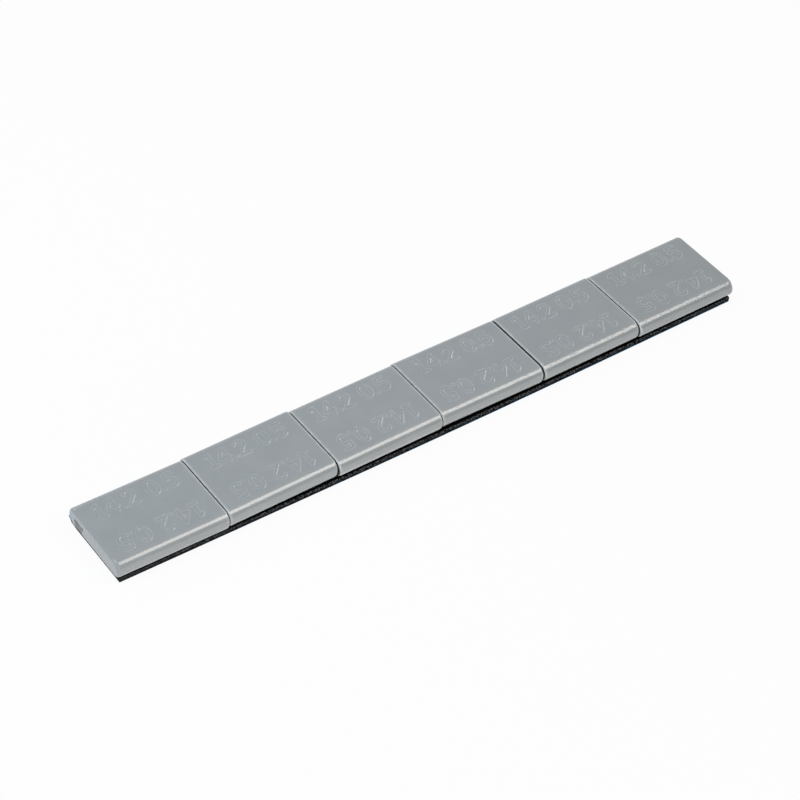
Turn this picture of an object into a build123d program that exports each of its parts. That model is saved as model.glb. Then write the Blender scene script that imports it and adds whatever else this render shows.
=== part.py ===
from build123d import *
import os

# Strip of stick-on wheel balance weights: painted steel weights in a row on one foam tape,
# with a release liner under the tape that is peeled off before the strip goes on the rim.
# Millimetres. X runs along the strip, Y across it towards the back, Z is up.
# The origin is the middle of the underside, on the liner.

# Weights: lengths of flat bar with round long edges, cut off one after another
WEIGHT_COUNT = 6
WEIGHT_LENGTH = 23.95
WEIGHT_WIDTH = 19.05
WEIGHT_THICKNESS = 4.15
WEIGHT_GAP = 0.15
CUT_EDGE_BREAK = 0.25
CUT_ALLOWANCE = 3.0

# How the weights were laid: each one's offset across the strip and its turn in degrees.
# A cut is shared by the two weights that it parted, so there is one more cut than weights.
# Each cut fell a little off its even place along the strip, is turned by some degrees,
# and may have opened into a wider gap than the rest.
WEIGHT_OFFSETS = (-0.10, 0.10, -0.11, 0.09, 0.06, -0.02)
WEIGHT_TURNS = (-0.77, 0.45, 0.30, -0.62, 0.35, 0.30)
CUT_SHIFTS = (0.19, -0.02, 0.03, 0.04, 0.18, -0.08, 0.03)
CUT_TURNS = (-0.30, 0.0, 0.27, 0.10, 0.20, 0.05, 0.0)
CUT_EXTRA_GAPS = (0.0, 0.0, 0.0, 0.0, 0.18, 0.0, 0.0)

# Torn notch in the outer end of the first weight: a tapering pocket, its top tilted in degrees,
# that is deepest under its lip and runs out to the face at its foot
NOTCH_WIDTH = 3.4
NOTCH_FOOT_WIDTH = 1.7
NOTCH_HEIGHT = 1.3
NOTCH_RAISE = 0.95
NOTCH_DEPTH = 0.4
NOTCH_FROM_BACK = 3.95
NOTCH_TILT = -5.0

# Foam tape: a little narrower than the weights, it stops short of them at both ends
# and bows a little towards the front
TAPE_SIDE_INSET = 0.175
TAPE_THICKNESS = 1.0
TAPE_END_INSET = 0.55
TAPE_BOW = 0.48
TAPE_OFFSET = 0.5
TAPE_SLIDE = 0.15
TAPE_TURN = -0.14

# Release liner: a hair smaller than the tape, but with a border at the back to pull it by
LINER_THICKNESS = 0.1
LINER_FRONT_INSET = 0.06
LINER_END_INSET = 0.26
LINER_BORDER = 1.6

# Worked out from the sizes above
PITCH = WEIGHT_LENGTH + WEIGHT_GAP
STRIP_LENGTH = WEIGHT_COUNT * PITCH - WEIGHT_GAP
FIRST_CUT = -WEIGHT_COUNT * PITCH / 2
TAPE_LENGTH = STRIP_LENGTH - 2 * TAPE_END_INSET
TAPE_WIDTH = WEIGHT_WIDTH - 2 * TAPE_SIDE_INSET
WEIGHT_UNDERSIDE = LINER_THICKNESS + TAPE_THICKNESS


def cut_place(index, side):
    """Place of one cut along the strip, half the gap before it (side -1) or past it (side 1)."""
    gap = WEIGHT_GAP + CUT_EXTRA_GAPS[index]
    return FIRST_CUT + index * PITCH + CUT_SHIFTS[index] + side * gap / 2


def cut_plane(index, side):
    """Plane of one side of a cut, facing along the strip."""
    facing = Vector(1, 0, 0).rotate(Axis.Z, CUT_TURNS[index])
    return Plane(origin=(cut_place(index, side), 0, 0), z_dir=facing)


def flat_bar(index):
    """Stock for one weight: round-edge flat bar, lying on the tape where that weight lies."""
    section = Plane.YZ * SlotOverall(WEIGHT_WIDTH, WEIGHT_THICKNESS)
    stock = extrude(section, amount=WEIGHT_LENGTH / 2 + CUT_ALLOWANCE, both=True)
    middle = FIRST_CUT + (index + 0.5) * PITCH
    height = WEIGHT_UNDERSIDE + WEIGHT_THICKNESS / 2
    return Pos(middle, WEIGHT_OFFSETS[index], height) * Rot(Z=WEIGHT_TURNS[index]) * stock


def weight(index):
    """One weight, cut off at both ends, with its cut edges broken."""
    piece = split(flat_bar(index), bisect_by=cut_plane(index, 1), keep=Keep.TOP)
    piece = split(piece, bisect_by=cut_plane(index + 1, -1), keep=Keep.BOTTOM)
    faces = piece.faces().sort_by(Axis.X)
    cut_edges = faces[0].edges() + faces[-1].edges()
    return chamfer(cut_edges, length=CUT_EDGE_BREAK)


def notch():
    """Pocket of the torn notch in the first weight: deep under its lip, flush with the face at its foot."""
    end = cut_place(0, 1)
    middle = WEIGHT_WIDTH / 2 - NOTCH_FROM_BACK
    foot = WEIGHT_UNDERSIDE + NOTCH_RAISE
    lip = foot + NOTCH_HEIGHT
    half, foot_half = NOTCH_WIDTH / 2, NOTCH_FOOT_WIDTH / 2
    upper = [(middle - half, lip), (middle + half, lip)]
    lower = [(middle + foot_half, foot), (middle - foot_half, foot)]
    mouth = make_face(Polyline(*upper, *lower, close=True))
    pocket = extrude(Plane.YZ * mouth, amount=NOTCH_DEPTH + CUT_ALLOWANCE)
    ramp = Plane(origin=(end, middle, foot), x_dir=(0, 1, 0), z_dir=(NOTCH_HEIGHT, 0, -NOTCH_DEPTH))
    pocket = split(Pos(end - CUT_ALLOWANCE, 0, 0) * pocket, bisect_by=ramp, keep=Keep.BOTTOM)
    return pocket.rotate(Axis((0, middle, lip), (1, 0, 0)), NOTCH_TILT)


def strip_plan(front_inset, end_inset, border):
    """Outline of the bowed tape from above, drawn in at the front and ends, with a border at its back."""
    end = TAPE_LENGTH / 2 - end_inset
    front = -TAPE_WIDTH / 2 + front_inset
    back = TAPE_WIDTH / 2 + border
    front_edge = ThreePointArc((-end, front), (0, front - TAPE_BOW), (end, front))
    back_edge = ThreePointArc((end, back), (0, back - TAPE_BOW), (-end, back))
    right_end = Line((end, front), (end, back))
    left_end = Line((-end, back), (-end, front))
    return make_face([front_edge, right_end, back_edge, left_end])


def on_strip(plan, thickness, height):
    """Makes a sheet from a plan and lays it at its height, with the tape's own place and turn."""
    return Pos(TAPE_SLIDE, TAPE_OFFSET, height) * Rot(Z=TAPE_TURN) * extrude(plan, amount=thickness)


pieces = {f"weight_{index + 1}": weight(index) for index in range(WEIGHT_COUNT)}
pieces["weight_1"] -= notch()
tape_plan = strip_plan(0, 0, 0)
liner_plan = strip_plan(LINER_FRONT_INSET, LINER_END_INSET, LINER_BORDER)
pieces["foam_tape"] = on_strip(tape_plan, TAPE_THICKNESS, LINER_THICKNESS)
pieces["release_liner"] = on_strip(liner_plan, LINER_THICKNESS, 0)

os.makedirs("parts", exist_ok=True)
for name, piece in pieces.items():
    piece.label = name
    export_step(piece, f"parts/{name}.step")
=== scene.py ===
import math
from typing import NamedTuple

import bpy
import numpy as np
from mathutils import Euler, Matrix, Vector, noise


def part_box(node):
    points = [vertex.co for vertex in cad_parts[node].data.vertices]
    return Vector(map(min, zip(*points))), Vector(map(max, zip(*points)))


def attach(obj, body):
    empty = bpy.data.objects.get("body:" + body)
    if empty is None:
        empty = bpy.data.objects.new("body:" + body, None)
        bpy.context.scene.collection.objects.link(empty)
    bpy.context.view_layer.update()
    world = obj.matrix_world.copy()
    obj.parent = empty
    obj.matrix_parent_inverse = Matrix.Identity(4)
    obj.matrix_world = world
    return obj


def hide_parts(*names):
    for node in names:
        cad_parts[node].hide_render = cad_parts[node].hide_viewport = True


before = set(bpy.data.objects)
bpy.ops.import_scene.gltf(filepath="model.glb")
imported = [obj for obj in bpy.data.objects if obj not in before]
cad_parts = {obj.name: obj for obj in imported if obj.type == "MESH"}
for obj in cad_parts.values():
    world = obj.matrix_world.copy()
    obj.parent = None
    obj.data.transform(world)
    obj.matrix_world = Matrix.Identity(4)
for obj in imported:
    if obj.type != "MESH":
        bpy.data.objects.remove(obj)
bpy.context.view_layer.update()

# Strip of stick-on wheel balance weights on one foam tape, with a release liner under it.
# X runs along the strip, Y across it towards the back, Z is up, as in the CAD frame.
# Lengths are millimetres, and turn into metres where a mesh or a node takes them.
# The stage, the lamps and the camera are in metres from the start.
MM = 0.001

# The strip, with the CAD model's own sizes; turns are in degrees
WEIGHT_COUNT = 6
PITCH = 24.1
WEIGHT_WIDTH = 19.05
WEIGHT_THICKNESS = 4.15
WEIGHT_GAP = 0.15
WEIGHT_OFFSETS = (-0.10, 0.10, -0.11, 0.09, 0.06, -0.02)
WEIGHT_TURNS = (-0.77, 0.45, 0.30, -0.62, 0.35, 0.30)
CUT_SHIFTS = (0.19, -0.02, 0.03, 0.04, 0.18, -0.08, 0.03)
CUT_TURNS = (-0.30, 0.0, 0.27, 0.10, 0.20, 0.05, 0.0)
CUT_EXTRA_GAPS = (0.0, 0.0, 0.0, 0.0, 0.18, 0.0, 0.0)
NOTCH_WIDTH = 3.4
NOTCH_HEIGHT = 1.3
NOTCH_RAISE = 0.95
NOTCH_FROM_BACK = 3.95
TAPE_BOW = 0.48
TAPE_OFFSET = 0.5
TAPE_TURN = -0.14
TAPE_SIDE_INSET = 0.175
TAPE_END_INSET = 0.55
TAPE_SLIDE = 0.15

# Places that follow from those sizes, and the tape's levels from its box in the frame
FIRST_CUT = -WEIGHT_COUNT * PITCH / 2
STRIP_END = WEIGHT_COUNT * PITCH / 2 - WEIGHT_GAP / 2
OUTER_END = FIRST_CUT + CUT_SHIFTS[0] + WEIGHT_GAP / 2
TAPE_LOW, TAPE_HIGH = (corner.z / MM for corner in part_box("foam_tape"))
WEIGHT_UNDERSIDE = TAPE_HIGH

# Edges of a mesh that turn by more than this are shaded sharp
SHARP_ANGLE = math.radians(60)


def spread(start, stop, step):
    """Evenly spaced values from start to stop, about one step apart."""
    return list(np.linspace(start, stop, max(2, round((stop - start) / step) + 1)))


def bell(values, middle, reach, power=2):
    """1 at the middle, falling away on both sides; a higher power has a flatter top."""
    return np.exp(-(((values - middle) / reach) ** power))


def from_table(table, place):
    """Value at a place from a table of (place, value) rows, straight between them."""
    return np.interp(place, *zip(*table))


def mesh_object(name, points, faces, values=None):
    """Mesh piece from points in millimetres, with named values for each point."""
    mesh = bpy.data.meshes.new(name)
    mesh.from_pydata((points * MM).tolist(), [], faces)
    for key, numbers in (values or {}).items():
        add_values(mesh, key, numbers)
    smooth(mesh)
    mesh.update()
    piece = bpy.data.objects.new(name, mesh)
    bpy.context.scene.collection.objects.link(piece)
    return piece


def add_values(mesh, key, numbers):
    """Gives each point of a mesh its own number, for the materials to read."""
    layer = mesh.attributes.new(key, "FLOAT", "POINT")
    layer.data.foreach_set("value", np.asarray(numbers, np.float32))


def smooth(mesh):
    """Shades a mesh smooth, but for its sharp edges."""
    mesh.polygons.foreach_set("use_smooth", [True] * len(mesh.polygons))
    mesh.set_sharp_from_angle(angle=SHARP_ANGLE)


def ring_faces(rings, count):
    """Quads between closed rings of count points, and one face over each end."""
    faces = []
    for ring in range(rings - 1):
        low, high = ring * count, (ring + 1) * count
        for k in range(count):
            after = (k + 1) % count
            faces.append((low + k, high + k, high + after, low + after))
    faces.append(tuple(range(count)))
    faces.append(tuple(reversed(range((rings - 1) * count, rings * count))))
    return faces


def plate_faces(rows, columns):
    """Faces of a closed plate: a grid of points, the same grid behind it, and the wall between."""
    wide = columns + 1
    size = (rows + 1) * wide
    faces = []
    for row in range(rows):
        for column in range(columns):
            a = row * wide + column
            quad = (a, a + 1, a + wide + 1, a + wide)
            faces.append(quad)
            faces.append(tuple(size + k for k in reversed(quad)))
    rim = list(range(wide))
    rim += [row * wide + columns for row in range(1, rows + 1)]
    rim += [rows * wide + column for column in range(columns - 1, -1, -1)]
    rim += [row * wide for row in range(rows - 1, 0, -1)]
    for a, b in zip(rim, rim[1:] + rim[:1]):
        faces.append((b, a, size + a, size + b))
    return faces


# Stamped numerals: plain mass figures in two rows, each row read from its own long edge
MARK_TEXT = "14.2 0.5"
MARK_HEIGHT = 3.7
MARK_ROW = 4.85
MARK_STROKE = 0.42
MARK_DEPTH = 0.075
MARK_RAMP = 0.20
MARK_LIP = 0.012
MARK_LIP_SPREAD = 0.08
MARK_GAP = 0.80
MARK_SPACE = 2.6
MARK_MARGIN = 2.0
# Each weight's stamp lands a little differently: along, across, turn in degrees, share of depth
MARK_SHIFTS = (
    (0.0, 0.05, 0.3, 0.65),
    (0.25, -0.05, -0.2, 0.75),
    (-0.2, 0.1, 0.4, 0.95),
    (0.15, 0.0, -0.4, 1.0),
    (-0.1, -0.1, 0.2, 1.05),
    (0.1, 0.05, -0.1, 1.05),
)


def arc_points(middle, radius_x, radius_y, start, stop, steps):
    """Points on an arc of an ellipse, angles in degrees."""
    turns = [math.radians(start + (stop - start) * k / steps) for k in range(steps + 1)]
    x, y = middle
    return [(x + radius_x * math.cos(a), y + radius_y * math.sin(a)) for a in turns]


# Figures as strokes in a box one unit high: width, then the lines that the punch draws
FIGURES = {
    "0": (0.56, [arc_points((0.28, 0.5), 0.28, 0.5, 0, 360, 28)]),
    "1": (0.42, [[(0.02, 0.78), (0.22, 1.0), (0.22, 0.0)], [(0.02, 0.0), (0.42, 0.0)]]),
    "2": (0.56, [arc_points((0.28, 0.72), 0.27, 0.28, 165, -38, 16)
                 + [(0.0, 0.0), (0.56, 0.0)]]),
    "4": (0.60, [[(0.44, 0.0), (0.44, 1.0), (0.0, 0.3), (0.6, 0.3)]]),
    "5": (0.56, [[(0.52, 1.0), (0.09, 1.0), (0.05, 0.56)]
                 + arc_points((0.26, 0.31), 0.29, 0.31, 128, -142, 18)]),
    ".": (0.06, [[(0.03, 0.03), (0.04, 0.03)]]),
}


def row_strokes():
    """Straight pieces of all strokes of one row, centred on the origin, as pairs of ends."""
    pairs = []
    place = 0.0
    for sign in MARK_TEXT:
        if sign == " ":
            place += MARK_SPACE - MARK_GAP
            continue
        width, lines = FIGURES[sign]
        for line in lines:
            at = [(place + x * MARK_HEIGHT, (y - 0.5) * MARK_HEIGHT) for x, y in line]
            pairs += list(zip(at[:-1], at[1:]))
        place += width * MARK_HEIGHT + MARK_GAP
    middle = (place - MARK_GAP) / 2
    return np.array(pairs) - np.array([middle, 0.0])


def stroke_distance(points, pairs):
    """Distance from each point to the nearest stroke."""
    nearest = np.full(len(points), np.inf)
    for start, stop in pairs:
        along = stop - start
        share = np.clip((points - start) @ along / (along @ along), 0, 1)
        away = points - start - share[:, None] * along
        nearest = np.minimum(nearest, np.linalg.norm(away, axis=1))
    return nearest


def mark_relief(index, points):
    """Height of a weight's stamped top at points (along, across), and shares of stroke and rim."""
    along, across, turn, share = MARK_SHIFTS[index]
    cos, sin = math.cos(math.radians(turn)), math.sin(math.radians(turn))
    pairs = row_strokes()
    nearest = np.full(len(points), np.inf)
    for side in (1, -1):
        local = side * (points - np.array([along, 0.0]))
        local = local - np.array([0.0, MARK_ROW + side * across])
        spun = local @ np.array([[cos, -sin], [sin, cos]])
        nearest = np.minimum(nearest, stroke_distance(spun, pairs))
    outside = (MARK_STROKE + MARK_RAMP) / 2
    ramp = np.clip((outside - nearest) / MARK_RAMP, 0, 1)
    sunk = ramp * ramp * (3 - 2 * ramp)
    rim = bell(nearest, outside + MARK_LIP_SPREAD / 2, MARK_LIP_SPREAD) * (1 - sunk)
    return share * (MARK_LIP * rim - MARK_DEPTH * sunk), sunk, share * rim


# Mesh of one weight
EDGE_RADIUS = WEIGHT_THICKNESS / 2
FLAT_HALF = WEIGHT_WIDTH / 2 - EDGE_RADIUS
ARC_STEPS = 22
FINE_STEP = 0.10
COARSE_STEP = 0.45
UNDERSIDE_STEPS = 12

# Its eased cut edges: their radius, the radius at the strip's own two ends, and how much wider
# the low and high end get low on the long edges, around a turn of the surface from level
CUT_ROUND = 0.22
OUTER_CUT_ROUND = 0.5
CUT_FLARES = {"low": 0.22, "high": 0.5}
CUT_FLARE_TURN = math.radians(110)
CUT_FLARE_SPREAD = math.radians(60)
CUT_ROUND_STEPS = 6
CUT_MARGINS = (0.25, 0.6)

# Its cut faces: rings that are drawn in by shares of the reach, and lumps per millimetre
CAP_SHARES = (0.12, 0.3, 0.5, 0.72, 1.0)
CAP_REACH = 1.87
CAP_ROUGHNESS = 0.008
CAP_LUMPS = (1.3, 0.5)
CAP_SEED_STEP = 7.0

# Where its paint is pale along the cuts, from rubbing and a painted highlight on their edges, where
# painted shade darkens it inside them, and where it is glossy on the front edge.
# Each weight has its own share of a painted highlight low on the front edge, where the floor lights
# it.
EDGE_PALE_RUN = 0.14
EDGE_SHIFT = 0.22
CUT_DARK_FROM = 0.85
SHINE_TURN = math.radians(36)
SHINE_SPREAD = math.radians(16)
SHINE_POWER = 4
LOW_HIGHLIGHT_TURN = math.radians(114)
LOW_HIGHLIGHT_SPREAD = math.radians(13)
LOW_HIGHLIGHTS = (0.05, 0.25, 0.95, 0.45, 0.25, 0.0)


class Section(NamedTuple):
    """Outline of the bar: points across and up, where each faces, its turn from level, if on top."""
    points: np.ndarray
    outward: np.ndarray
    turn: np.ndarray
    on_top: np.ndarray


def bar_section():
    """Outline of the round-edge bar, fine where the stamps are."""
    row_end = MARK_ROW - MARK_HEIGHT / 2 - MARK_STROKE
    top = spread(-FLAT_HALF, -row_end, FINE_STEP)[:-1]
    top += spread(-row_end, row_end, COARSE_STEP)[:-1]
    top += spread(row_end, FLAT_HALF, FINE_STEP)
    under = np.linspace(FLAT_HALF, -FLAT_HALF, UNDERSIDE_STEPS + 1)
    turns = [math.pi * k / ARC_STEPS for k in range(1, ARC_STEPS)]
    rows = [(y, 0.0, 0) for y in top]
    rows += [(FLAT_HALF, turn, 1) for turn in turns]
    rows += [(y, math.pi, 0) for y in under]
    rows += [(-FLAT_HALF, turn, -1) for turn in reversed(turns)]
    across, turn, side = np.array(rows).T
    outward = np.column_stack([side * np.sin(turn), np.cos(turn)])
    middle = np.column_stack([across, np.full(len(across), EDGE_RADIUS)])
    points = middle + EDGE_RADIUS * outward
    return Section(points, outward, turn, np.arange(len(points)) < len(top))


def weight_rings():
    """Rings along a weight: the end each belongs to or "in" between them, its form and value."""
    eases = [math.pi / 2 * k / CUT_ROUND_STEPS for k in range(CUT_ROUND_STEPS + 1)]
    ends = [("cap", share) for share in reversed(CAP_SHARES)]
    ends += [("ease", ease) for ease in reversed(eases)]
    ends += [("flat", margin) for margin in CUT_MARGINS]
    half = PITCH / 2 - MARK_MARGIN
    rings = [("low", *end) for end in ends]
    rings += [("in", "flat", x) for x in spread(-half, half, FINE_STEP)]
    return rings + [("high", *end) for end in reversed(ends)]


def is_outer(index, kind):
    """Whether an end of a weight is an end of the strip too."""
    return (index, kind) in ((0, "low"), (WEIGHT_COUNT - 1, "high"))


def cut_rounding(index, kind, turn):
    """Radius of a cut's edge around the section: small on top, wider low on the long edges."""
    flare = CUT_FLARES.get(kind, 0.0) * bell(turn, CUT_FLARE_TURN, CUT_FLARE_SPREAD)
    return np.maximum(OUTER_CUT_ROUND, flare) if is_outer(index, kind) else CUT_ROUND + flare


def cut_darkness(index, kind, form, value):
    """Share of shade inside the cut between two weights, from its rounded edge down."""
    if kind == "in" or is_outer(index, kind) or form == "flat":
        return 0.0
    if form == "cap":
        return 1.0
    return max(0.0, math.sin(value) - CUT_DARK_FROM) / (1 - CUT_DARK_FROM)


def end_place(index, cut, side, across):
    """Where a cut meets the bar of one weight, along the bar, for places across it."""
    turn = math.radians(WEIGHT_TURNS[index])
    lean = math.radians(CUT_TURNS[cut])
    gap = WEIGHT_GAP + CUT_EXTRA_GAPS[cut]
    reach = (cut - index - 0.5) * PITCH + CUT_SHIFTS[cut] + side * gap / 2
    shift = reach * math.cos(lean) - WEIGHT_OFFSETS[index] * math.sin(lean)
    return (shift + across * math.sin(turn - lean)) / math.cos(turn - lean)


def low_end(index, across):
    """Where the bar of one weight starts, for places across it."""
    return end_place(index, index, 1, across)


def high_end(index, across):
    """Where the bar of one weight stops, for places across it."""
    return end_place(index, index + 1, -1, across)


def cap_grain(index, kind, places):
    """Slight roughness of a cut face at places across and up, as shifts along the bar."""
    seed = index * CAP_SEED_STEP + (kind == "high")
    wide, tall = CAP_LUMPS
    grain = [noise.noise(Vector((y * wide, z * tall, seed))) for y, z in places]
    return CAP_ROUGHNESS * np.array(grain)


def ring_points(index, ring, bar):
    """Points of one ring on a weight's own bar: along, across and up."""
    kind, form, value = ring
    rounding = cut_rounding(index, kind, bar.turn)
    reach, inset = np.zeros(len(bar.turn)), np.zeros(len(bar.turn))
    if form == "cap":
        inset = rounding + value * (CAP_REACH - rounding)
    elif form == "ease":
        reach = rounding * (1 - math.sin(value))
        inset = rounding * (1 - math.cos(value))
    else:
        reach = rounding + value
    places = bar.points - inset[:, None] * bar.outward
    if kind == "in":
        along = np.full(len(bar.turn), value)
    elif kind == "low":
        along = low_end(index, places[:, 0]) + reach
    else:
        along = high_end(index, places[:, 0]) - reach
    if form == "cap":
        along = along + cap_grain(index, kind, places)
    return np.column_stack([along, places])


def edge_wear_and_highlight(index, local):
    """Share of pale paint at points of a weight's bar, from rubbing and a painted highlight on the
    cut edges: most along the cuts between weights.
    """
    along, across = local[:, 0], local[:, 1]
    low = np.maximum(along - low_end(index, across) - EDGE_SHIFT, 0)
    high = np.maximum(high_end(index, across) - along - EDGE_SHIFT, 0)
    low_pale = np.exp(-low / EDGE_PALE_RUN) * (not is_outer(index, "low"))
    high_pale = np.exp(-high / EDGE_PALE_RUN) * (not is_outer(index, "high"))
    return np.maximum(low_pale, high_pale)


def to_strip(index, local):
    """Takes points from a weight's own bar to the strip."""
    turn = math.radians(WEIGHT_TURNS[index])
    along, across, up = local.T
    middle = FIRST_CUT + (index + 0.5) * PITCH
    return np.stack([
        middle + along * math.cos(turn) - across * math.sin(turn),
        WEIGHT_OFFSETS[index] + along * math.sin(turn) + across * math.cos(turn),
        WEIGHT_UNDERSIDE + up,
    ], 1)


def weight_mesh(index):
    """One weight: round-edge bar between its two cuts, with eased cut edges and a stamped top."""
    bar = bar_section()
    count = len(bar.turn)
    blocks, sunk, rims, cuts = [], [], [], []
    for ring in weight_rings():
        block = ring_points(index, ring, bar)
        depth, rim = np.zeros(count), np.zeros(count)
        if ring[0] == "in":
            tops = block[bar.on_top][:, :2]
            height, depth[bar.on_top], rim[bar.on_top] = mark_relief(index, tops)
            block[bar.on_top, 2] += height
        blocks.append(block)
        sunk.append(depth)
        rims.append(rim)
        cuts.append(np.full(count, cut_darkness(index, *ring)))
    local = np.concatenate(blocks)
    front = bar.outward[:, 0] < 0
    shine = bell(bar.turn, SHINE_TURN, SHINE_SPREAD, SHINE_POWER) * front
    # A painted highlight low on the front edge, where the floor lights it, joins the pale cut edges
    line = LOW_HIGHLIGHTS[index] * bell(bar.turn, LOW_HIGHLIGHT_TURN, LOW_HIGHLIGHT_SPREAD) * front
    values = {
        "stamp": np.concatenate(sunk),
        "rim": np.concatenate(rims),
        "edge": np.maximum(edge_wear_and_highlight(index, local), np.tile(line, len(blocks))),
        "cut": np.concatenate(cuts),
        "shine": np.tile(shine, len(blocks)),
    }
    faces = ring_faces(len(blocks), count)
    return mesh_object(f"painted_weight_{index + 1}", to_strip(index, local), faces, values)


# Mesh of the torn notch, which tapers from its lip to its foot and fades towards the back.
# Its place and height are the CAD model's; widths, shifts and sinks are its own.
NOTCH_COLUMNS = 16
NOTCH_ROWS = 12
NOTCH_SINK = 0.30
NOTCH_FOOT_SHARE = 0.45
NOTCH_LIP_RISE = 0.26
NOTCH_LIP_SHIFT = -0.10
NOTCH_LIP_WIDTH = 3.4
NOTCH_FOOT_SHIFT = 0.48
NOTCH_FOOT_WIDTH = 2.4
NOTCH_TILT = math.radians(2.5)
NOTCH_BACK_RUN = 1.1
NOTCH_BACK_SHARE = 0.3
NOTCH_CUTTER_REACH = 1.0
NOTCH_MIDDLE = WEIGHT_WIDTH / 2 - NOTCH_FROM_BACK
NOTCH_TALL = NOTCH_RAISE + NOTCH_HEIGHT + NOTCH_LIP_RISE
NOTCH_LIP = WEIGHT_UNDERSIDE + NOTCH_TALL

# Its torn surface: how uneven its floor is, as a share of its depth, and how far its rim wanders,
# with the size of the lumps and the seeds of the noise
NOTCH_TEAR = 0.25
NOTCH_TEAR_SIZE = 0.6
NOTCH_TEAR_SEED = 3.1
NOTCH_RAGGED = 0.16
NOTCH_RAGGED_SIZE = 0.7
NOTCH_RAGGED_SEEDS = (1.7, 5.3)

# Its bare steel and painted shadow: the depth at which it is all bare steel, and how far below the
# lip a painted shadow darkens it
NOTCH_BARE_DEPTH = 0.08
NOTCH_SHADE_REACH = 1.05
NOTCH_SHADE_RUN = 0.5


def notch_point(share, column, inner):
    """Point of the notch's cutter, at a share of the way down and of the way across to the back."""
    width = NOTCH_LIP_WIDTH + (NOTCH_FOOT_WIDTH - NOTCH_LIP_WIDTH) * share
    shift = NOTCH_LIP_SHIFT + (NOTCH_FOOT_SHIFT - NOTCH_LIP_SHIFT) * share
    u = shift + width * (column - 0.5)
    v = -NOTCH_TALL * share
    at = (u / NOTCH_RAGGED_SIZE, v / NOTCH_RAGGED_SIZE)
    rags = [NOTCH_RAGGED * noise.noise(Vector((*at, seed))) for seed in NOTCH_RAGGED_SEEDS]
    u += rags[0]
    v += rags[1] * (1 - share)
    x = OUTER_END - NOTCH_CUTTER_REACH
    if inner:
        sink = NOTCH_SINK * (1 - (1 - NOTCH_FOOT_SHARE) * share)
        fade = min(1.0, NOTCH_BACK_SHARE + width * (1 - column) / NOTCH_BACK_RUN)
        at = Vector((u / NOTCH_TEAR_SIZE, v / NOTCH_TEAR_SIZE, NOTCH_TEAR_SEED))
        x = OUTER_END + sink * fade * (1 + NOTCH_TEAR * noise.noise(at))
    y = NOTCH_MIDDLE + u * math.cos(NOTCH_TILT) - v * math.sin(NOTCH_TILT)
    z = NOTCH_LIP + u * math.sin(NOTCH_TILT) + v * math.cos(NOTCH_TILT)
    return x, y, z


def notch_cutter():
    """Solid for the torn notch in the first weight's outer end, deepest under its lip."""
    points = [
        notch_point(row / NOTCH_ROWS, column / NOTCH_COLUMNS, inner)
        for inner in (False, True)
        for row in range(NOTCH_ROWS + 1)
        for column in range(NOTCH_COLUMNS + 1)
    ]
    return mesh_object("notch_cutter", np.array(points), plate_faces(NOTCH_ROWS, NOTCH_COLUMNS))


def cut_away(piece, cutter):
    """Takes the cutter's shape out of a piece and removes the cutter."""
    step = piece.modifiers.new("notch", "BOOLEAN")
    step.operation = "DIFFERENCE"
    step.solver = "EXACT"
    step.object = cutter
    bpy.context.view_layer.update()
    ready = piece.evaluated_get(bpy.context.evaluated_depsgraph_get())
    mesh = bpy.data.meshes.new_from_object(ready)
    piece.modifiers.remove(step)
    piece.data = mesh
    smooth(mesh)
    bpy.data.objects.remove(cutter)


def mark_torn(piece):
    """Gives each point of the first weight its share of torn steel, and of painted shadow below the
    lip.
    """
    count = len(piece.data.vertices)
    places = np.empty(count * 3)
    piece.data.vertices.foreach_get("co", places)
    x, y, z = places.reshape(count, 3).T / MM
    depth = x - OUTER_END + y * math.tan(math.radians(CUT_TURNS[0]))
    inside = (np.abs(y - NOTCH_MIDDLE) < NOTCH_WIDTH) & (z < NOTCH_LIP + NOTCH_SINK)
    torn = inside * np.clip(depth / NOTCH_BARE_DEPTH, 0, 1)
    below = (y - NOTCH_MIDDLE) * math.sin(NOTCH_TILT) + (NOTCH_LIP - z) * math.cos(NOTCH_TILT)
    shade = np.clip((NOTCH_SHADE_REACH - below) / NOTCH_SHADE_RUN, 0, 1)
    add_values(piece.data, "torn", torn)
    add_values(piece.data, "lip_shadow", torn * shade)


# Mesh of the foam tape: swollen at its free edges, with open cells, one corner worn.
# Tables along the strip hold (place, value) rows.
TAPE_HALF_LENGTH = STRIP_END - TAPE_END_INSET
TAPE_HALF_WIDTH = WEIGHT_WIDTH / 2 - TAPE_SIDE_INSET
TAPE_RADIUS = (TAPE_HALF_LENGTH ** 2 + TAPE_BOW ** 2) / (2 * TAPE_BOW)
TAPE_STATION = 0.2
TAPE_ROWS = 8
TAPE_ACROSS = 10
TAPE_CORNER_RUN = 0.12
TAPE_CORNER_RISE = 2.5
TAPE_OVERHANG = 0.085
TAPE_SWELLS = ((-50.0, 0.05), (-40.0, 0.20), (-10.0, 0.27), (40.0, 0.25), (72.0, 0.12))
TAPE_SWELL_REACH = 0.6
TAPE_SHOULDER_SHARE = 1 / 3
TAPE_DRAWN_IN = (
    (-72.0, 0.02), (-36.0, 0.06), (-15.0, 0.0), (20.0, 0.0), (52.0, 0.10), (72.0, 0.06),
)
PORE_SIZE = 0.42
PORE_DEPTH = 0.07
PORE_TAPER = 1.6
PORE_SEED = 5.0
# Share of pale foam on the free edges by height, kept low at the top as painted shade under the
# weights and low at the foot, and along the strip; contrast of its cells
TAPE_PALE_AND_SHADE = ((0.1, 0.05), (0.28, 0.28), (0.52, 0.54), (0.76, 0.74), (0.9, 0.78), (1.0, 0.25))
TAPE_PALE_RISE = ((-72.0, 0.85), (-40.0, 1.0))
TAPE_CELLS = ((-72.0, 0.28), (-40.0, 0.9), (-10.0, 1.2), (45.0, 1.1), (70.0, 0.8))

# Mesh of the release liner: the insets of its front at the left and right end, its border at
# the back, and the run and rise of its clipped corner
LINER_END_INSET = 0.06
LINER_FRONT_INSETS = (0.09, -0.02)
LINER_BORDER = 1.75
LINER_CORNER_RUN = 0.4
LINER_CORNER_RISE = 1.95


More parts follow.
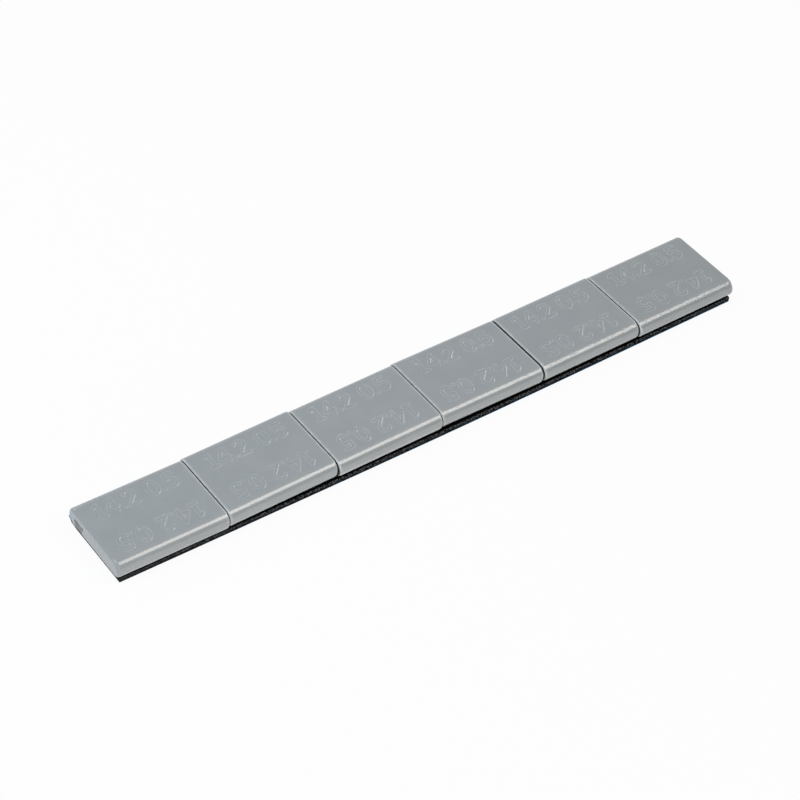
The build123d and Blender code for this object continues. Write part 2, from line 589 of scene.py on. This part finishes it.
def on_tape(x, y, z):
    """Takes a point from the tape's own straight axes to its bowed place on the strip."""
    turn = math.radians(TAPE_TURN)
    y += TAPE_RADIUS - TAPE_BOW - math.sqrt(TAPE_RADIUS ** 2 - x ** 2)
    return (TAPE_SLIDE + x * math.cos(turn) - y * math.sin(turn),
            TAPE_OFFSET + x * math.sin(turn) + y * math.cos(turn), z)


def tape_ring():
    """Outline of the tape: place across, level, share of the swell, and side where it is free."""
    flat_half = TAPE_HALF_WIDTH - TAPE_SWELL_REACH
    shoulder = (flat_half + TAPE_HALF_WIDTH) / 2
    across = np.linspace(-flat_half, flat_half, TAPE_ACROSS + 1)
    shares = np.linspace(0, 1, TAPE_ROWS + 1)
    edge = [(TAPE_LOW + up * (TAPE_HIGH - TAPE_LOW), up) for up in shares]
    ring = [(-TAPE_HALF_WIDTH, level, up, -1) for level, up in edge]
    ring += [(-shoulder, TAPE_HIGH, TAPE_SHOULDER_SHARE, 0)]
    ring += [(y, TAPE_HIGH, 0, 0) for y in across]
    ring += [(shoulder, TAPE_HIGH, TAPE_SHOULDER_SHARE, 0)]
    ring += [(TAPE_HALF_WIDTH, level, up, 1) for level, up in reversed(edge)]
    return ring + [(y, TAPE_LOW, 0, 0) for y in across[::-1]]


def pore_depth(x, z, side):
    """Depth of the open cell at a place on one of the tape's free edges."""
    place = Vector((x / PORE_SIZE, z / PORE_SIZE, side * PORE_SEED))
    distances, _ = noise.voronoi(place)
    return PORE_DEPTH * max(0.0, 1 - PORE_TAPER * distances[0])


def tape_mesh():
    """Foam tape: open-celled along both sides, swelling up past the flat of the weights."""
    ring = tape_ring()
    stations = spread(-TAPE_HALF_LENGTH - TAPE_OVERHANG, TAPE_HALF_LENGTH, TAPE_STATION)
    points, pales, cells = [], [], []
    for x in stations:
        drawn = from_table(TAPE_DRAWN_IN, x)
        swell = from_table(TAPE_SWELLS, x)
        rise = from_table(TAPE_PALE_RISE, x)
        run = TAPE_CORNER_RUN * max(0.0, 1 - (x + TAPE_HALF_LENGTH) / TAPE_CORNER_RISE)
        cells += [from_table(TAPE_CELLS, x)] * len(ring)
        for y, level, up, side in ring:
            z = level + up * swell
            worn = run * max(0.0, 1 - (TAPE_HALF_WIDTH - y) / TAPE_CORNER_RISE)
            if side:
                y -= side * pore_depth(x, z, side)
                y += drawn * (side < 0)
            points.append(on_tape(x + worn, y, z))
            pales.append(from_table(TAPE_PALE_AND_SHADE, up) * abs(side) * rise)
    faces = ring_faces(len(stations), len(ring))
    values = {"pale": pales, "cells": cells}
    return mesh_object("cellular_tape", np.array(points), faces, values)


def liner_mesh():
    """Release film: a border at the back with one corner clipped, and a front close to the tape's."""
    half_length = TAPE_HALF_LENGTH - LINER_END_INSET
    stations = spread(-half_length, half_length, TAPE_STATION)
    points = []
    for x in stations:
        front = -TAPE_HALF_WIDTH + np.interp(x, (-half_length, half_length), LINER_FRONT_INSETS)
        front += from_table(TAPE_DRAWN_IN, x)
        clip = LINER_CORNER_RISE * max(0.0, 1 - (x + half_length) / LINER_CORNER_RUN)
        back = TAPE_HALF_WIDTH + LINER_BORDER - clip
        ring = ((front, 0), (front, TAPE_LOW), (back, TAPE_LOW), (back, 0))
        points += [on_tape(x, y, z) for y, z in ring]
    return mesh_object("liner_film", np.array(points), ring_faces(len(stations), len(ring)))


class Pattern(NamedTuple):
    """Noise in a material: size and detail of its lumps, the stretch used, and what that gives."""
    size: float
    detail: float
    low: float
    high: float
    to_low: float = 0.0
    to_high: float = 1.0


# Paint: linear colours, then patterns, and the specks' spacing, radii as shares of it and strength
PAINT = (0.300, 0.328, 0.345)
PAINT_LIGHT = (0.318, 0.346, 0.362)
PAINT_DARKER = (0.205, 0.215, 0.215)
# Pale paint: rubbed cut edges, and painted highlights on the cut edges, the stamp rims and the low
# front edge
PAINT_WORN_AND_HIGHLIGHT = (0.55, 0.58, 0.59)
CUT_SHADE = (0.06, 0.063, 0.066)
TORN_STEEL = (0.115, 0.123, 0.126)
TORN_SHADE = (0.055, 0.06, 0.061)
PAINT_CLOUD = Pattern(size=5.0, detail=3.0, low=0.35, high=0.65)
PAINT_GRAIN = Pattern(size=0.22, detail=2.0, low=0.3, high=0.7, to_high=0.16)
PAINT_EDGE_PALE = Pattern(size=0.9, detail=3.0, low=0.3, high=0.7, to_low=0.4, to_high=0.95)
PAINT_RIM_HIGHLIGHT = Pattern(size=1.1, detail=2.0, low=0.35, high=0.65, to_low=0.12, to_high=0.65)
PAINT_ROUGHNESS = Pattern(size=1.2, detail=3.0, low=0.3, high=0.7, to_low=0.10, to_high=0.13)
PAINT_SPECULAR = 0.8
STAMP_DARKENING = 0.03
SPECK_SPACING = 4.2
SPECK_RADII = (0.022, 0.034)
SPECK_SHARE = 0.45
# Each weight's paint, darker towards the right end: a painted shade, where the light falls off along
# the strip
PAINT_SHADE_TONES = (1.0, 1.0, 1.0, 0.985, 0.97, 0.94)
# Radius of the matt pits in each weight's gloss, from smooth to stippled
PIT_RADII = (0.02, 0.04, 0.11, 0.12, 0.15, 0.17)
PIT_SPACING = 0.45
PIT_EDGE = 0.03
PIT_ROUGHNESS = 0.5
# Depth of each weight's orange peel
PEEL_DEPTHS = (0.003, 0.004, 0.006, 0.006, 0.006, 0.006)
PEEL_SIZE = 0.3
PEEL_DETAIL = 1.0

# Foam
FOAM_DARK = (0.0022, 0.0022, 0.0025)
FOAM_GREY = (0.15, 0.16, 0.174)
FOAM_SPECKLE = Pattern(size=0.32, detail=1.0, low=0.46, high=0.62)
FOAM_SPECKLE_MEAN = 0.35
FOAM_ROUGHNESS = Pattern(size=0.8, detail=2.0, low=0.3, high=0.7, to_low=0.75, to_high=0.95)
FOAM_CELL_SIZE = 0.3
FOAM_CELL_DEPTH = 0.08
FOAM_SPECULAR = 0.01

# Liner
LINER_BLUE = (0.08, 0.38, 0.70)
LINER_PALE = (0.15, 0.48, 0.78)
LINER_MOTTLE = Pattern(size=2.4, detail=3.0, low=0.35, high=0.7)
LINER_ROUGHNESS = Pattern(size=1.0, detail=2.0, low=0.3, high=0.7, to_low=0.28, to_high=0.42)
LINER_WAVE_SIZE = 1.6
LINER_WAVE_DETAIL = 2.0
LINER_WAVE_DEPTH = 0.02
LINER_SPECULAR = 0.5


# Sockets of the mix node's colours, which share their names with its numbers and vectors
MIX_FIRST, MIX_SECOND, MIX_RESULT = 6, 7, 2


class Nodes:
    """A material's node tree, with short ways to add and link nodes."""

    def __init__(self, name):
        self.material = bpy.data.materials.new(name)
        self.material.use_nodes = True
        self.tree = self.material.node_tree
        self.tree.nodes.clear()
        self.shader = self.add("ShaderNodeBsdfPrincipled")
        output = self.add("ShaderNodeOutputMaterial")
        self.link(self.shader.outputs["BSDF"], output.inputs["Surface"])
        self.place = self.add("ShaderNodeTexCoord").outputs["Object"]

    def add(self, kind, **settings):
        node = self.tree.nodes.new(kind)
        for key, value in settings.items():
            setattr(node, key, value)
        return node

    def link(self, source, target):
        self.tree.links.new(source, target)

    def noise(self, size, detail):
        """Noise whose lumps are about size millimetres across."""
        node = self.add("ShaderNodeTexNoise")
        node.inputs["Scale"].default_value = 1 / (size * MM)
        node.inputs["Detail"].default_value = detail
        self.link(self.place, node.inputs["Vector"])
        return node.outputs["Fac"]

    def cells(self, size):
        """Distance inside cells about size millimetres across."""
        node = self.add("ShaderNodeTexVoronoi")
        node.inputs["Scale"].default_value = 1 / (size * MM)
        self.link(self.place, node.inputs["Vector"])
        return node.outputs["Distance"]

    def attribute(self, name):
        return self.add("ShaderNodeAttribute", attribute_name=name).outputs["Fac"]

    def range(self, value, low, high, to_low, to_high):
        """Takes a value's stretch from low to high to another one, and clips it there."""
        node = self.add("ShaderNodeMapRange")
        self.link(value, node.inputs["Value"])
        limits = {"From Min": low, "From Max": high, "To Min": to_low, "To Max": to_high}
        for key, number in limits.items():
            node.inputs[key].default_value = number
        return node.outputs["Result"]

    def pattern(self, kind):
        """Noise, as a pattern describes it."""
        lumps = self.noise(kind.size, kind.detail)
        return self.range(lumps, kind.low, kind.high, kind.to_low, kind.to_high)

    def math(self, operation, first, second):
        """One step of arithmetic; each value is a number or a socket."""
        node = self.add("ShaderNodeMath", operation=operation)
        for socket, value in zip(node.inputs, (first, second)):
            if isinstance(value, (int, float)):
                socket.default_value = value
            else:
                self.link(value, socket)
        return node.outputs["Value"]

    def mix(self, share, first, second):
        """Colour between first and second; each is a linear colour or a socket."""
        node = self.add("ShaderNodeMix", data_type="RGBA")
        self.link(share, node.inputs["Factor"])
        for place, value in ((MIX_FIRST, first), (MIX_SECOND, second)):
            if isinstance(value, tuple):
                node.inputs[place].default_value = (*value, 1.0)
            else:
                self.link(value, node.inputs[place])
        return node.outputs[MIX_RESULT]

    def bump(self, height, depth):
        """Bump of about depth millimetres from a height between 0 and 1."""
        node = self.add("ShaderNodeBump")
        node.inputs["Strength"].default_value = 1.0
        node.inputs["Distance"].default_value = depth * MM
        self.link(height, node.inputs["Height"])
        return node.outputs["Normal"]

    def finish(self, colour, roughness, normal, specular):
        """Feeds the shader and gives the material."""
        self.link(colour, self.shader.inputs["Base Color"])
        self.link(roughness, self.shader.inputs["Roughness"])
        self.link(normal, self.shader.inputs["Normal"])
        self.shader.inputs["Specular IOR Level"].default_value = specular
        return self.material


def paint_colour(nodes, index):
    """Grey with faint clouding and specks, darker in the stamped grooves, darker towards the strip's
    right end as painted shade, pale at the cut edges from rubbing and a painted highlight, with
    painted highlights on the stamp rims and the low front edge, painted shade in the cuts and under
    the tear's lip, bare and dark in the tear.
    """
    # Darker towards the strip's right end: painted shade
    shade_tone = PAINT_SHADE_TONES[index]
    plain, light = (tuple(shade_tone * part for part in colour) for colour in (PAINT, PAINT_LIGHT))
    colour = nodes.mix(nodes.pattern(PAINT_CLOUD), plain, light)
    colour = nodes.mix(nodes.pattern(PAINT_GRAIN), colour, PAINT_DARKER)
    # Darker in the stamped grooves
    darker_grooves = nodes.math("MULTIPLY", nodes.attribute("stamp"), STAMP_DARKENING)
    colour = nodes.mix(darker_grooves, colour, PAINT_DARKER)
    # Pale along the cuts, from rubbing and a painted highlight on their edges
    edges = nodes.math("MULTIPLY", nodes.attribute("edge"), nodes.pattern(PAINT_EDGE_PALE))
    # Pale stamp rims: a painted highlight where their lips catch the light
    rims = nodes.math("MULTIPLY", nodes.attribute("rim"), nodes.pattern(PAINT_RIM_HIGHLIGHT))
    colour = nodes.mix(nodes.math("MAXIMUM", edges, rims), colour, PAINT_WORN_AND_HIGHLIGHT)
    # Painted shade inside the cuts and under the tear's lip, and bare steel in the tear
    for key, shade in (("cut", CUT_SHADE), ("torn", TORN_STEEL), ("lip_shadow", TORN_SHADE)):
        colour = nodes.mix(nodes.attribute(key), colour, shade)
    specks = nodes.range(nodes.cells(SPECK_SPACING), *SPECK_RADII, SPECK_SHARE, 0.0)
    return nodes.mix(specks, colour, PAINT_DARKER)


def paint_material(index):
    """Satin grey paint on steel with fine orange peel, and matt pits where the front edge shines."""
    nodes = Nodes(f"grey_paint_{index + 1}")
    colour = paint_colour(nodes, index)
    low, high = ((PIT_RADII[index] + side * PIT_EDGE) / PIT_SPACING for side in (-1, 1))
    pits = nodes.range(nodes.cells(PIT_SPACING), low, high, PIT_ROUGHNESS, 0.0)
    pits = nodes.math("MULTIPLY", pits, nodes.attribute("shine"))
    roughness = nodes.math("MAXIMUM", nodes.pattern(PAINT_ROUGHNESS), pits)
    peel = nodes.bump(nodes.noise(PEEL_SIZE, PEEL_DETAIL), PEEL_DEPTHS[index])
    return nodes.finish(colour, roughness, peel, PAINT_SPECULAR)


def foam_material():
    """Black cellular foam, greyer where cut cells catch the light, and darker under the weights as
    painted shade.
    """
    nodes = Nodes("black_foam")
    speckle = nodes.math("SUBTRACT", nodes.pattern(FOAM_SPECKLE), FOAM_SPECKLE_MEAN)
    speckle = nodes.math("MULTIPLY", speckle, nodes.attribute("cells"))
    level = nodes.math("ADD", speckle, FOAM_SPECKLE_MEAN)
    # The pale share keeps the foam dark high up under the weights, a painted shade
    pale = nodes.math("MULTIPLY", level, nodes.attribute("pale"))
    colour = nodes.mix(pale, FOAM_DARK, FOAM_GREY)
    cells = nodes.bump(nodes.cells(FOAM_CELL_SIZE), FOAM_CELL_DEPTH)
    return nodes.finish(colour, nodes.pattern(FOAM_ROUGHNESS), cells, FOAM_SPECULAR)


def liner_material():
    """Blue release film with faint mottling and slight waves."""
    nodes = Nodes("blue_liner")
    colour = nodes.mix(nodes.pattern(LINER_MOTTLE), LINER_BLUE, LINER_PALE)
    waves = nodes.bump(nodes.noise(LINER_WAVE_SIZE, LINER_WAVE_DETAIL), LINER_WAVE_DEPTH)
    return nodes.finish(colour, nodes.pattern(LINER_ROUGHNESS), waves, LINER_SPECULAR)


# Pieces
for number in range(WEIGHT_COUNT):
    weight = weight_mesh(number)
    if number == 0:
        cut_away(weight, notch_cutter())
        mark_torn(weight)
    weight.data.materials.clear()
    weight.data.materials.append(paint_material(number))
    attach(weight, "root")
    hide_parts(f"weight_{number + 1}")

tape = tape_mesh()
tape.data.materials.append(foam_material())
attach(tape, "root")
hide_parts("foam_tape")

liner = liner_mesh()
liner.data.materials.append(liner_material())
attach(liner, "root")
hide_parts("release_liner")

# Stage: floor, surroundings and one dark card, in metres
FLOOR_HALF = 3.0
FLOOR_LEVEL = -0.00002
FLOOR_TONE = (0.90, 0.90, 0.90)
FLOOR_WHITE_SHARE = 0.94
WORLD_TONE = (1.0, 1.0, 1.0)
AMBIENT = 0.23
CARD_TOWARDS = (0.447, -0.8945)
CARD_DISTANCE = 1.3
CARD_HALF_WIDTH = 0.33
CARD_LEVELS = (0.03, 0.80)
CARD_TONE = (0.20, 0.20, 0.20)


class Lamp(NamedTuple):
    """Soft box: direction and distance from the object, sides, watts, colour, if gloss shows it."""
    towards: tuple
    distance: float
    size: tuple
    power: float
    colour: tuple
    mirrored: bool = True


LAMPS = {
    "key_strip": Lamp(
        towards=(0.405, -0.476, 0.780), distance=1.2, size=(0.50, 0.62),
        power=4.75, colour=(1.0, 0.955, 0.89)),
    "top_left": Lamp(
        towards=(-0.45, 0.25, 0.86), distance=0.45, size=(0.30, 0.30),
        power=0.68, colour=(0.92, 0.96, 1.0)),
    "left_window": Lamp(
        towards=(-0.92, 0.12, 0.37), distance=0.55, size=(0.40, 0.40),
        power=0.555, colour=(0.63, 0.855, 1.0)),
    "back_window": Lamp(
        towards=(-0.05, 0.87, 0.48), distance=1.2, size=(0.70, 0.36),
        power=2.4, colour=(0.72, 0.86, 1.0)),
    "front_fill": Lamp(
        towards=(-0.28, -0.955, 0.10), distance=0.42, size=(0.40, 0.08),
        power=0.75, colour=(1.0, 0.945, 0.87), mirrored=False),
}


def camera_sees(tree):
    """1 for rays that show the background itself: from the camera, off gloss or through glass."""
    path = tree.nodes.new("ShaderNodeLightPath")
    total = path.outputs["Is Camera Ray"]
    for name in ("Is Glossy Ray", "Is Transmission Ray"):
        node = tree.nodes.new("ShaderNodeMath")
        node.operation = "MAXIMUM"
        tree.links.new(total, node.inputs[0])
        tree.links.new(path.outputs[name], node.inputs[1])
        total = node.outputs["Value"]
    return total


def stage_sheet(name, corners, material):
    """One flat sheet of the stage, from its four corners."""
    mesh = bpy.data.meshes.new(name)
    mesh.from_pydata(corners, [], [(0, 1, 2, 3)])
    mesh.materials.append(material)
    sheet = bpy.data.objects.new(name, mesh)
    bpy.context.scene.collection.objects.link(sheet)
    return sheet


def add_floor():
    """Pale floor that shows almost white and still keeps the object's soft shadow."""
    material = bpy.data.materials.new("pale_floor")
    material.use_nodes = True
    tree = material.node_tree
    tree.nodes.clear()
    output = tree.nodes.new("ShaderNodeOutputMaterial")
    plain = tree.nodes.new("ShaderNodeBsdfDiffuse")
    plain.inputs["Color"].default_value = (*FLOOR_TONE, 1.0)
    white = tree.nodes.new("ShaderNodeEmission")
    share = tree.nodes.new("ShaderNodeMath")
    share.operation = "MULTIPLY"
    share.inputs[1].default_value = FLOOR_WHITE_SHARE
    tree.links.new(camera_sees(tree), share.inputs[0])
    mix = tree.nodes.new("ShaderNodeMixShader")
    tree.links.new(share.outputs["Value"], mix.inputs["Fac"])
    tree.links.new(plain.outputs["BSDF"], mix.inputs[1])
    tree.links.new(white.outputs["Emission"], mix.inputs[2])
    tree.links.new(mix.outputs["Shader"], output.inputs["Surface"])
    sides = ((-1, -1), (1, -1), (1, 1), (-1, 1))
    corners = [(x * FLOOR_HALF, y * FLOOR_HALF, FLOOR_LEVEL) for x, y in sides]
    floor = stage_sheet("floor", corners, material)


def add_card():
    """Dark card in front, off camera: the glossy edges mirror it as a line under the key light."""
    material = bpy.data.materials.new("dark_card")
    material.use_nodes = True
    shader = material.node_tree.nodes["Principled BSDF"]
    shader.inputs["Base Color"].default_value = (*CARD_TONE, 1.0)
    shader.inputs["Roughness"].default_value = 1.0
    side = Vector((-CARD_TOWARDS[1], CARD_TOWARDS[0], 0)) * CARD_HALF_WIDTH
    foot = Vector((*CARD_TOWARDS, 0)) * CARD_DISTANCE
    low, high = (Vector((0, 0, level)) for level in CARD_LEVELS)
    corners = [foot - side + low, foot + side + low, foot + side + high, foot - side + high]
    card = stage_sheet("dark_card", corners, material)
    card.visible_camera = card.visible_diffuse = card.visible_shadow = False


def add_world():
    """White surroundings that light the object at a plain level."""
    world = bpy.data.worlds.new("studio")
    bpy.context.scene.world = world
    world.use_nodes = True
    tree = world.node_tree
    background = tree.nodes["Background"]
    strength = tree.nodes.new("ShaderNodeMapRange")
    strength.inputs["To Min"].default_value = AMBIENT
    strength.inputs["To Max"].default_value = 1.0
    tree.links.new(camera_sees(tree), strength.inputs["Value"])
    background.inputs["Color"].default_value = (*WORLD_TONE, 1.0)
    tree.links.new(strength.outputs["Result"], background.inputs["Strength"])


def add_lamp(name, lamp):
    """Puts up a soft box that faces the object, its first side along the strip."""
    light = bpy.data.lights.new(name, "AREA")
    light.shape = "RECTANGLE"
    light.size, light.size_y = lamp.size
    light.energy = lamp.power
    light.color = lamp.colour
    box = bpy.data.objects.new(name, light)
    box.visible_camera = False
    box.visible_glossy = lamp.mirrored
    away = Vector(lamp.towards).normalized()
    along = (Vector((1, 0, 0)) - away * away.x).normalized()
    turn = Matrix((along, away.cross(along), away)).transposed().to_4x4()
    box.matrix_world = Matrix.Translation(away * lamp.distance) @ turn
    bpy.context.scene.collection.objects.link(box)


add_floor()
add_world()
add_card()
for name, lamp in LAMPS.items():
    add_lamp(name, lamp)

# Camera as fitted to the photograph: place in metres, turns in degrees, lens in millimetres
CAMERA_PLACE = (-0.215096, -0.308368, 0.351590)
CAMERA_ELEVATION = 42.903
CAMERA_AZIMUTH = -34.416
CAMERA_ROLL = 0.563
CAMERA_LENS = 117.847
CAMERA_SENSOR = 36.0
CAMERA_NEAR = 0.01

lens = bpy.data.cameras.new("photo_camera")
lens.sensor_width = CAMERA_SENSOR
lens.lens = CAMERA_LENS
lens.clip_start = CAMERA_NEAR
camera = bpy.data.objects.new("photo_camera", lens)
camera.location = CAMERA_PLACE
aim = Euler((math.radians(90 - CAMERA_ELEVATION), 0, math.radians(CAMERA_AZIMUTH))).to_matrix()
camera.rotation_euler = (aim @ Matrix.Rotation(math.radians(CAMERA_ROLL), 3, "Z")).to_euler()
bpy.context.scene.collection.objects.link(camera)
bpy.context.scene.camera = camera

bpy.context.scene.view_settings.view_transform = "Standard"
